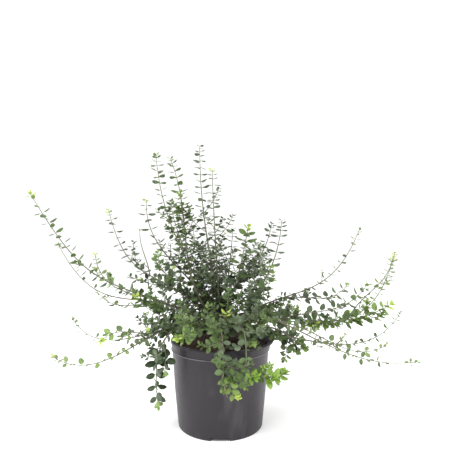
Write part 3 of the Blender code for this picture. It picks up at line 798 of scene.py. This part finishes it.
# A habit: the longest leaf and the pair spacing in millimetres, the share of leaves there, the twigs'
# spacing and longest length, how far leaves lie level, how far they face the plant's front, and the
# colours of its leaves from the old part to the tip
Habit = namedtuple("Habit", "leaf step share twig_step twig_length level face colours")
HABITS = {
    "arching": Habit(13.5, 8.6, 0.92, 24, 22, 0.3, 0.9, "grey mid fresh yellow"),
    "pale_arching": Habit(10.8, 10, 0.9, 60, 20, 0.3, 0.7, "mid fresh pale yellow"),
    "bare": Habit(10.0, 20, 0.12, 70, 14, 0.4, 0.5, "mid mid fresh fresh"),
    "hair": Habit(10.0, 60, 0.0, 900, 10, 0.4, 0.5, "mid mid fresh yellow"),
    "sparse": Habit(11.0, 12, 0.85, 34, 22, 0.3, 0.7, "grey mid pale fresh"),
    "slight": Habit(8.8, 10.5, 0.9, 40, 18, 0.3, 0.7, "mid mid pale fresh"),
    "ladder": Habit(13.5, 10.5, 0.98, 15, 44, 0.8, 0.2, "dark grey grey yellow"),
    "plain_ladder": Habit(14.5, 10.5, 0.98, 15, 44, 0.8, 0.22, "dark grey grey grey"),
    "upright": Habit(14.5, 9.8, 1.0, 24, 38, 0.45, 0.8, "mid mid mid fresh"),
    "leafy": Habit(15.0, 8.2, 1.0, 12, 38, 0.4, 0.75, "dark dark mid fresh"),
    "sprig": Habit(14.0, 9.5, 1.0, 32, 24, 0.35, 0.75, "dark dark mid fresh"),
    "rich": Habit(15.0, 7.0, 1.0, 8, 26, 0.35, 0.85, "mid mid fresh yellow"),
    "bright": Habit(17.5, 8.0, 1.0, 16, 32, 0.4, 0.85, "dark mid mid yellow"),
    "vivid": Habit(16.5, 5.2, 1.0, 9, 24, 0.3, 1.0, "mid fresh vivid vivid"),
    "tip_cluster": Habit(14.5, 6.5, 1.0, 26, 14, 0.2, 1.0, "dark mid fresh yellow"),
    "pale_fan": Habit(15.0, 7.0, 1.0, 14, 32, 0.2, 1.0, "pale pale pale pale"),
    "fan_tip": Habit(19.0, 4.5, 1.0, 90, 10, 0.0, 0.9, "grey pale pale pale"),
    "whorled": Habit(15.5, 9.0, 1.0, 24, 24, 0.2, 0.9, "pale pale grey grey"),
    "hanging": Habit(16.0, 9.0, 1.0, 18, 28, 0.1, 1.0, "deep deep deep fresh"),
    "trailing": Habit(13.0, 9.0, 1.0, 20, 24, 0.1, 0.9, "grey mid mid fresh"),
    "inner": Habit(13.0, 7.8, 1.0, 0, 0, 0.35, 0.85, "dark dark grey grey"),
    "inner_fresh": Habit(13.6, 7.4, 1.0, 0, 0, 0.35, 0.95, "dark mid mid fresh"),
}

# The twigs stand closer and longer near the crown, where they make up the plant's dense middle, and they are
# a fresher green in some masses at the rim, front and right
INNER_REACH = 100 * MM
INNER_STEP = 12 * MM
INNER_TWIG_LENGTH = 44 * MM
FRESH_MASSES = (
    "rim_left", "rim_front_left", "rim_front", "trail_front",
    "dense_right", "long_right", "low_right", "drop_right", "low_right_front",
)

# A rod: a stretch of wood with its habit, and the distance where its leaves start
Rod = namedtuple("Rod", "path first last radii habit leaves_from")


def twig_path(parent, distance, around, length):
    """A short side twig that leaves at a slant and bends up to the light."""
    heading = parent.heading(distance)
    side = parent.side(distance)
    out = side * math.cos(around) + heading.cross(side) * math.sin(around)
    slant = math.radians(TWIG_SPREAD)
    leaving = (heading * math.cos(slant) + out * math.sin(slant)).normalized()
    ending = (leaving + Vector((0, 0, TWIG_RISE))).normalized()
    start = parent.point(distance)
    turn = start + leaving * length * 0.5
    return Path(start, start + leaving * length * TWIG_PULL, turn, turn + ending * length * 0.5)


def clear_of_pot(points):
    """Whether no point is inside the pot's outline, in the soil or under the floor."""
    margin = 1 * MM
    for point in points:
        lip = LIP_RADIUS + margin
        if point.x > BENT_SIDE:
            lip += LIP_SHIFT + BEND_OUT
        over_pot = math.hypot(point.x, point.y) < lip
        if point.z < 2 * margin or (over_pot and point.z < SOIL_TOP + BEND_UP + margin):
            return False
    return True


rods = []
for index, (name, mass) in enumerate(MASSES.items()):
    rng = random.Random(SEED + index)
    main = mains[name]
    bare = main.length * mass.bare_share
    radius = FORK_RADIUS if bare else LIMB_RADIUS
    own = [Rod(main, bare, main.length, (radius, TIP_RADIUS), mass.shoots[0].habit, bare + BARE_BASE)]
    for shoot in mass.shoots[1:]:
        path = branch_path(shoot, main)
        base = TRAILING_BASE if name.startswith("trail") else BARE_BASE
        own.append(Rod(path, 0, path.length, (BRANCH_RADIUS, TIP_RADIUS), shoot.habit, base))
    for parent in list(own):
        habit = HABITS[parent.habit]
        distance = parent.leaves_from
        if parent.habit != "hair":
            distance = min(distance, FIRST_TWIG)
        twig_zone = RICH_TWIG_ZONE if parent.habit == "rich" else TWIG_ZONE
        while distance < parent.path.length * twig_zone:
            near_crown = (parent.path.point(distance) - HEAD_CENTRE).length < INNER_REACH
            step = INNER_STEP if near_crown else habit.twig_step * MM
            twig_habit = parent.habit
            if near_crown:
                twig_habit = "inner_fresh" if name in FRESH_MASSES else "inner"
            longest = INNER_TWIG_LENGTH if near_crown else habit.twig_length * MM
            length = rng.uniform(*TWIG_LENGTHS) * longest
            path = twig_path(parent.path, distance, rng.uniform(0, 2 * math.pi), length)
            if clear_of_pot([path.point(length * share) for share in (0.3, 0.6, 1.0)]):
                radii = (TWIG_RADIUS, TIP_RADIUS)
                own.append(Rod(path, 0, path.length, radii, twig_habit, length * TWIG_BARE))
            distance += step * rng.uniform(*TWIG_STEPS)
    rods += own

old_wood = Wood()
young_wood = Wood()
for rod in rods:
    joints = HABITS[rod.habit].step * MM
    change = rod.first + (rod.last - rod.first) * 0.5
    middle_radius = (rod.radii[0] + rod.radii[1]) / 2
    if rod.radii[0] > TWIG_RADIUS:
        old_wood.add(rod.path, rod.first, change, (rod.radii[0], middle_radius), OLDER_GRADE, joints)
        young_wood.add(rod.path, change, rod.last, (middle_radius, rod.radii[1]), YOUNG_GRADE, joints)
    else:
        young_wood.add(rod.path, rod.first, rod.last, rod.radii, TWIG_GRADE, joints)
foliage_nodes = [name for name in sorted(nodes) if name.startswith("foliage_")]
OLDER_BROWN = (0.115, 0.11, 0.07)
OLDER_SHADE = (0.06, 0.048, 0.032)
YOUNG_GREEN = (0.125, 0.14, 0.07)
YOUNG_SHADE = (0.085, 0.085, 0.046)
old_shoots = old_wood.piece("older_shoots", finish_of(
    "older_shoot_bark", OLDER_BROWN, OLDER_SHADE,
    blotches=(260, 0.12), grains=(2400, 0.0002), rough=(0.55, 0.8),
))
young_shoots = young_wood.piece("young_shoots", finish_of(
    "young_shoot_skin", YOUNG_GREEN, YOUNG_SHADE,
    blotches=(200, 0.1), grains=(2600, 0.0001), rough=(0.5, 0.7),
))
for piece in (old_shoots, young_shoots):
    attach(piece, "root")
    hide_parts(*foliage_nodes)


# Rootlets and dry stubs
# Short pale aerial roots that have grown from the end of the trailing front shoot, and a few dry broken
# ends of old wood on the short front shoot.
ROOTLET_COLOUR = (0.42, 0.33, 0.22)
ROOTLET_SHADE = (0.24, 0.15, 0.10)
ROOTLET_SHARES = (0.86, 0.89, 0.92, 0.95, 0.98)
ROOTLET_RADII = (0.3 * MM, 0.15 * MM)
ROOTLET_GRADE = Grade(5, 1 * MM, 0.04 * MM)
ROOTLET_SEED = 4
root_rng = random.Random(ROOTLET_SEED)
fine_wood = Wood()
trailing = mains["trail_front"]
for share in ROOTLET_SHARES:
    start = trailing.point(trailing.length * share)
    first = Vector([root_rng.uniform(-3, 3), root_rng.uniform(-2, 0), root_rng.uniform(-7, -3)]) * MM
    second = first + Vector([root_rng.uniform(-5, 5), root_rng.uniform(-1, 1), root_rng.uniform(-5, 1)]) * MM
    thread = Path(start, start + first, start + second, start + first * 0.6 + second)
    fine_wood.add(thread, 0, thread.length, ROOTLET_RADII, ROOTLET_GRADE)

# A stub: its place along the shoot, and its reach to the right, to the back and up in millimetres
STUBS = ((0.62, (14, -12, 2)), (0.7, (9, -10, 12)), (0.55, (19, -13, -3)), (0.8, (-9, -11, 6)))
STUB_RADII = (0.9 * MM, 0.6 * MM)
STUB_GRADE = Grade(6, 1 * MM, 0.12 * MM)
carrier = mains["rim_front"]
for share, reach in STUBS:
    low = carrier.point(carrier.length * share)
    high = low + Vector(reach) * MM
    bow = Vector((0, 0, 1.5 * MM))
    stub = Path(low, low.lerp(high, 0.33) + bow, low.lerp(high, 0.66) + bow, high)
    fine_wood.add(stub, 0, stub.length, STUB_RADII, STUB_GRADE)
rootlets = fine_wood.piece("rootlets_and_stubs", finish_of(
    "dry_wood", ROOTLET_COLOUR, ROOTLET_SHADE, blotches=(300, 0.1), grains=(2400, 0.0002), rough=(0.7, 0.9),
))
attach(rootlets, "root")


# Leaves
# Small leathery evergreen leaves in opposite pairs, each pair a quarter turn from the last. They are oval
# with a blunt point and a slightly notched edge, folded a little along the midrib, on a very short stalk.
LEAF_STATIONS = 9
LEAVES_PER_PIECE = 2600
LEAF_LANES = (-1.0, -0.5, 0.0, 0.5, 1.0)
STALK = 0.13  # share of the leaf's length

# The blade's half width in shares of its width: how blunt, full and tapered it is, its teeth, the stalk and
# the point, and how far the edge curls under
BLUNTNESS = 0.62
FULLNESS = 0.57
TAPER = 0.13
TEETH = 1.05
STALK_HALF_WIDTH = 0.045
POINT_HALF_WIDTH = 0.012
EDGE_CURL = 0.9

# The angle between leaf and shoot, which closes towards the tip, where leaves are smaller and closer
OPEN_ANGLE = 72
TIP_CLOSING = 34
CLOSING_LENGTH = 10 * MM
TIP_LEAF_SHARE = 0.48
GROWING_LENGTH = 20 * MM
TIP_SPACING = 0.3
SPACING_LENGTH = 22 * MM
TWIG_LEAF_SHARE = 0.88

# The stretches of tip colour and young colour, where the old colour starts, the share of twigs that end in
# the tip colour, and the stretch that keeps all its leaves
TIP_LENGTH = 7 * MM
YOUNG_LENGTH = 30 * MM
OLD_SHARE = 0.6
BRIGHT_TWIG_TIPS = 0.16
FULL_TIP_LENGTH = 9 * MM

# How leaves turn to the light and the front, and how much each one differs from the next
FRONT_PULL = 0.8
LIGHT_TILT = 0.35
HANGING_TILT = 2.2
FLATTENING = 0.6
LEVELLING = 0.8
RISE = 0.06
LEAST_UPWARD = 0.2
DIRECTION_SCATTER = 0.12
ROLL_SCATTER = 0.28
TURN_SCATTER = 0.12
LENGTHS = (0.82, 1.1)
WIDTHS = (0.52, 0.64)
FOLDS = (0.12, 0.4)
DROOPS = (0.0, 0.14)
SPACINGS = (0.9, 1.1)

LEAF_COLOURS = {
    "deep": ((0.022, 0.040, 0.012), (0.034, 0.056, 0.020)),
    "dark": ((0.037, 0.060, 0.022), (0.056, 0.084, 0.034)),
    "grey": ((0.078, 0.108, 0.058), (0.115, 0.150, 0.088)),
    "mid": ((0.080, 0.130, 0.036), (0.056, 0.092, 0.028)),
    "fresh": ((0.140, 0.220, 0.048), (0.100, 0.165, 0.040)),
    "pale": ((0.200, 0.260, 0.110), (0.140, 0.190, 0.078)),
    "vivid": ((0.185, 0.310, 0.042), (0.130, 0.235, 0.036)),
    "yellow": ((0.370, 0.480, 0.085), (0.270, 0.380, 0.068)),
}
UNDERSIDE_SHARE = 0.85
UNDERSIDE_ADDED = (0.030, 0.042, 0.022)

# A leaf: where its stalk starts, its direction, its upper side, its length and width, and its fold and droop
Leaf = namedtuple("Leaf", "root along upward length width fold droop")


def fields_of(leaves):
    """Each field of the leaves as one array, with room for stations and lanes."""
    return [np.array(field)[:, None, None] for field in zip(*leaves)]


def leaf_shape(leaves):
    """Corners of every blade, by leaf, station and lane."""
    root, along, upward, length, width, fold, droop = fields_of(leaves)
    across = np.cross(along, upward)
    share = (1 - np.cos(np.linspace(0, math.pi, LEAF_STATIONS))) / 2
    half = (4 * share * (1 - share)) ** BLUNTNESS * (FULLNESS - TAPER * share)
    half[1:-1:2] *= TEETH
    half = np.maximum(half, STALK_HALF_WIDTH)
    half[-1] = POINT_HALF_WIDTH
    stations = np.concatenate([[0], STALK + (1 - STALK) * share])[None, :, None]
    half = np.concatenate([[STALK_HALF_WIDTH], half])[None, :, None]
    lane = np.array(LEAF_LANES)[None, None, :]
    s = stations * length
    w = lane * half * width
    curl = EDGE_CURL * w**2 / width * np.abs(lane)
    lift = fold * np.abs(w) - droop * length * stations**2 - curl
    return root + along * s[..., None] + across * w[..., None] + upward * lift[..., None]


def grid_faces(rows, columns):
    starts = [row * columns + column for row in range(rows - 1) for column in range(columns - 1)]
    return [(start, start + 1, start + columns + 1, start + columns) for start in starts]


def joined_grids(name, corners, material):
    """One mesh of many like grids of corners, given as grid, row and column."""
    count, rows, columns = corners.shape[:3]
    single = np.array(grid_faces(rows, columns))
    faces = (single[None] + (np.arange(count) * rows * columns)[:, None, None]).reshape(-1, 4)
    mesh = bpy.data.meshes.new(name)
    mesh.vertices.add(count * rows * columns)
    mesh.vertices.foreach_set("co", corners.astype(np.float32).ravel())
    mesh.loops.add(faces.size)
    mesh.loops.foreach_set("vertex_index", faces.astype(np.int32).ravel())
    mesh.polygons.add(len(faces))
    mesh.polygons.foreach_set("loop_start", np.arange(0, faces.size, 4, dtype=np.int32))
    mesh.update(calc_edges=True)
    mesh.validate()
    mesh.materials.append(material)
    return new_object(name, mesh, 75)


def pair_of(rod, distance, turn, size, rng):
    """The two opposite leaves at one place on a shoot."""
    habit = HABITS[rod.habit]
    heading = rod.path.heading(distance)
    side = rod.path.side(distance)
    middle = rod.path.point(distance)
    to_tip = rod.path.length - distance
    opening = math.radians(OPEN_ANGLE - TIP_CLOSING * math.exp(-to_tip / CLOSING_LENGTH))
    steep = abs(heading.z)
    outward = Vector((middle.x, middle.y, 0)).normalized()
    front = (outward + Vector((0, -FRONT_PULL, 0))).normalized()
    tilt = LIGHT_TILT + max(0.0, -heading.z) * HANGING_TILT
    light = Vector((0, 0, 1)) + front * habit.face * tilt
    pair = []
    for half in (0, math.pi):
        out = side * math.cos(turn + half) + heading.cross(side) * math.sin(turn + half)
        out.z *= 1 - FLATTENING * (1 - steep)
        out = (out - heading * out.dot(heading)).normalized()
        along = heading * math.cos(opening) + out * math.sin(opening)
        along.z = along.z * (1 - habit.level * steep * LEVELLING) + RISE
        along = (along + Vector([rng.gauss(0, DIRECTION_SCATTER) for _ in range(3)])).normalized()
        upward = light - along * light.dot(along)
        if upward.length < LEAST_UPWARD:
            upward = heading - along * heading.dot(along)
        upward = Matrix.Rotation(rng.gauss(0, ROLL_SCATTER), 3, along) @ upward.normalized()
        length = size * rng.uniform(*LENGTHS)
        width = length * rng.uniform(*WIDTHS)
        fold = rng.uniform(*FOLDS)
        droop = rng.uniform(*DROOPS)
        pair.append(Leaf(middle, along, upward, length, width, fold, droop))
    return pair


sprays = {kind: [] for kind in LEAF_COLOURS}
for index, rod in enumerate(rods):
    habit = HABITS[rod.habit]
    rng = random.Random(SEED * 31 + index)
    step = habit.step * MM
    is_twig = rod.radii[0] == TWIG_RADIUS
    distance = rod.last - 0.4 * MM
    turn = rng.uniform(0, math.pi)
    while distance > rod.leaves_from:
        to_tip = rod.last - distance
        grown = min(1.0, TIP_LEAF_SHARE + (1 - TIP_LEAF_SHARE) * to_tip / GROWING_LENGTH)
        size = habit.leaf * MM * grown * (TWIG_LEAF_SHARE if is_twig else 1.0)
        share = to_tip / max(1 * MM, rod.last - rod.leaves_from)
        stage = 3 if to_tip < TIP_LENGTH else 2 if to_tip < YOUNG_LENGTH else 1 if share < OLD_SHARE else 0
        if is_twig and stage == 3:
            stage = 2 + (rng.random() < BRIGHT_TWIG_TIPS)
        kind = habit.colours.split()[stage]
        keep_all = to_tip < FULL_TIP_LENGTH
        for leaf in pair_of(rod, distance, turn, size, rng):
            if keep_all or rng.random() < habit.share:
                middle = leaf.root + leaf.along * leaf.length * 0.5
                if clear_of_pot([middle, leaf.root + leaf.along * leaf.length]):
                    sprays[kind].append(leaf)
        turn += math.pi / 2 + rng.gauss(0, TURN_SCATTER)
        spacing = TIP_SPACING + (1 - TIP_SPACING) * min(1.0, to_tip / SPACING_LENGTH)
        distance -= step * spacing * rng.uniform(*SPACINGS)

LEAF_SHINE = 0.34
blades = []
for kind, leaves in sprays.items():
    colour, blotch = LEAF_COLOURS[kind]
    material = finish_of(
        f"{kind}_leaf", colour, blotch, blotches=(90, 0.12), grains=(1100, 0.00015), rough=(0.38, 0.55),
    )
    tree, link = material.node_tree.nodes, material.node_tree.links.new
    shader = tree["Principled BSDF"]
    facing = tree.new("ShaderNodeNewGeometry")
    underside = tree.new("ShaderNodeMix")
    underside.data_type = "RGBA"
    below = [UNDERSIDE_SHARE * c + added for c, added in zip(colour, UNDERSIDE_ADDED)]
    underside.inputs["B"].default_value = (*below, 1)
    shader.inputs["Specular IOR Level"].default_value = LEAF_SHINE
    tint = next(node for node in tree if node.type == "GROUP" and node.node_tree == BLOTCHES)
    link(tint.outputs["Colour"], underside.inputs["A"])
    link(facing.outputs["Backfacing"], underside.inputs["Factor"])
    link(underside.outputs["Result"], shader.inputs["Base Color"])
    for part, first in enumerate(range(0, len(leaves), LEAVES_PER_PIECE)):
        some = leaves[first:first + LEAVES_PER_PIECE]
        corners = leaf_shape(some)
        piece = joined_grids(f"{kind}_leaves_{part + 1}", corners, material)
        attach(piece, "root")
        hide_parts(*foliage_nodes)
        blades.append((kind, some, corners))


# Midribs
# The pale rib that runs up the middle of each leaf's upper side, part of the blade and a little raised
# above it. It is brighter on the young leaves.
RIB_HALF_WIDTHS = (0.24, 0.07)  # millimetres, at the stalk and at the tip
RIB_LIFT = 0.09  # millimetres
RIB_HEIGHT = 0.07  # millimetres
RIB_SHADE = 0.8


def rib_shape(leaves, corners):
    """Corners of these leaves' ribs, by leaf, station and lane."""
    middle = corners[:, :, 2]
    along, upward = (field[:, 0] for field in fields_of(leaves)[1:3])
    across = np.cross(along, upward)
    widths = np.linspace(*RIB_HALF_WIDTHS, middle.shape[1])[None, :, None] * MM
    ridge = middle + upward * RIB_LIFT * MM
    top = ridge + upward * RIB_HEIGHT * MM
    return np.stack([ridge - across * widths, top, ridge + across * widths], axis=2)


for label, kinds, colour in (
    ("pale_midribs", ("deep", "dark", "grey", "mid", "pale"), (0.115, 0.150, 0.075)),
    ("bright_midribs", ("fresh", "vivid", "yellow"), (0.27, 0.36, 0.11)),
):
    ribs = np.concatenate([rib_shape(some, corners) for kind, some, corners in blades if kind in kinds])
    darker = tuple(channel * RIB_SHADE for channel in colour)
    rib_skin = finish_of(
        label + "_skin", colour, darker, blotches=(120, 0.1), grains=(1500, 0.0001), rough=(0.45, 0.6),
    )
    for part, first in enumerate(range(0, len(ribs), 2 * LEAVES_PER_PIECE)):
        some = ribs[first:first + 2 * LEAVES_PER_PIECE]
        piece = joined_grids(f"{label}_{part + 1}", some, rib_skin)
        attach(piece, "root")


# Setting
# A plain white floor that runs on past the view, a white surround, one large soft light above the front and
# left, a weaker one at the right, a low one on each side for the pot's edges, and the level camera.
FLOOR_REACH = 6
FLOOR_WHITE = (0.93, 0.93, 0.93, 1)
SURROUND_STRENGTH = 1.12
LIT_HEIGHT = 0.2
CAMERA_PLACE = (0.0067, -0.665, 0.291)
floor_mesh = bpy.data.meshes.new("floor")
floor_corners = [(x * FLOOR_REACH, y * FLOOR_REACH, 0) for x, y in ((-1, -1), (1, -1), (1, 1), (-1, 1))]
floor_mesh.from_pydata(floor_corners, [], [(0, 1, 2, 3)])
floor = new_object("floor", floor_mesh)
floor_paint = bpy.data.materials.new("white_floor")
floor_paint.use_nodes = True
floor_shader = floor_paint.node_tree.nodes["Principled BSDF"]
floor_shader.inputs["Base Color"].default_value = FLOOR_WHITE
floor_shader.inputs["Roughness"].default_value = 0.9
floor_shader.inputs["Specular IOR Level"].default_value = 0.1
floor_mesh.materials.append(floor_paint)

world = bpy.data.worlds.new("white_surround")
world.use_nodes = True
world.node_tree.nodes["Background"].inputs["Color"].default_value = (1, 1, 1, 1)
world.node_tree.nodes["Background"].inputs["Strength"].default_value = SURROUND_STRENGTH
bpy.context.scene.world = world


def soft_light(name, place, size, power):
    lamp = bpy.data.lights.new(name, "AREA")
    lamp.shape = "SQUARE"
    lamp.size = size
    lamp.energy = power
    holder = bpy.data.objects.new(name, lamp)
    holder.location = place
    holder.rotation_euler = (Vector((0, 0, LIT_HEIGHT)) - Vector(place)).to_track_quat("-Z", "Y").to_euler()
    bpy.context.scene.collection.objects.link(holder)


soft_light("main_light", (-0.9, -1.2, 1.7), size=1.0, power=38)
soft_light("side_light", (1.5, -0.6, 1.2), size=0.9, power=16)
soft_light("left_edge_light", (-1.5, 0.15, 0.4), size=0.7, power=15)
soft_light("right_edge_light", (1.5, 0.3, 0.4), size=0.7, power=7)

camera = bpy.data.cameras.new("camera")
camera.sensor_width = 36
camera.lens = 36
camera.clip_start = 0.05
viewer = bpy.data.objects.new("camera", camera)
viewer.location = CAMERA_PLACE
viewer.rotation_euler = (math.radians(90), 0, 0)
bpy.context.scene.collection.objects.link(viewer)
bpy.context.scene.camera = viewer
bpy.context.scene.view_settings.view_transform = "Standard"
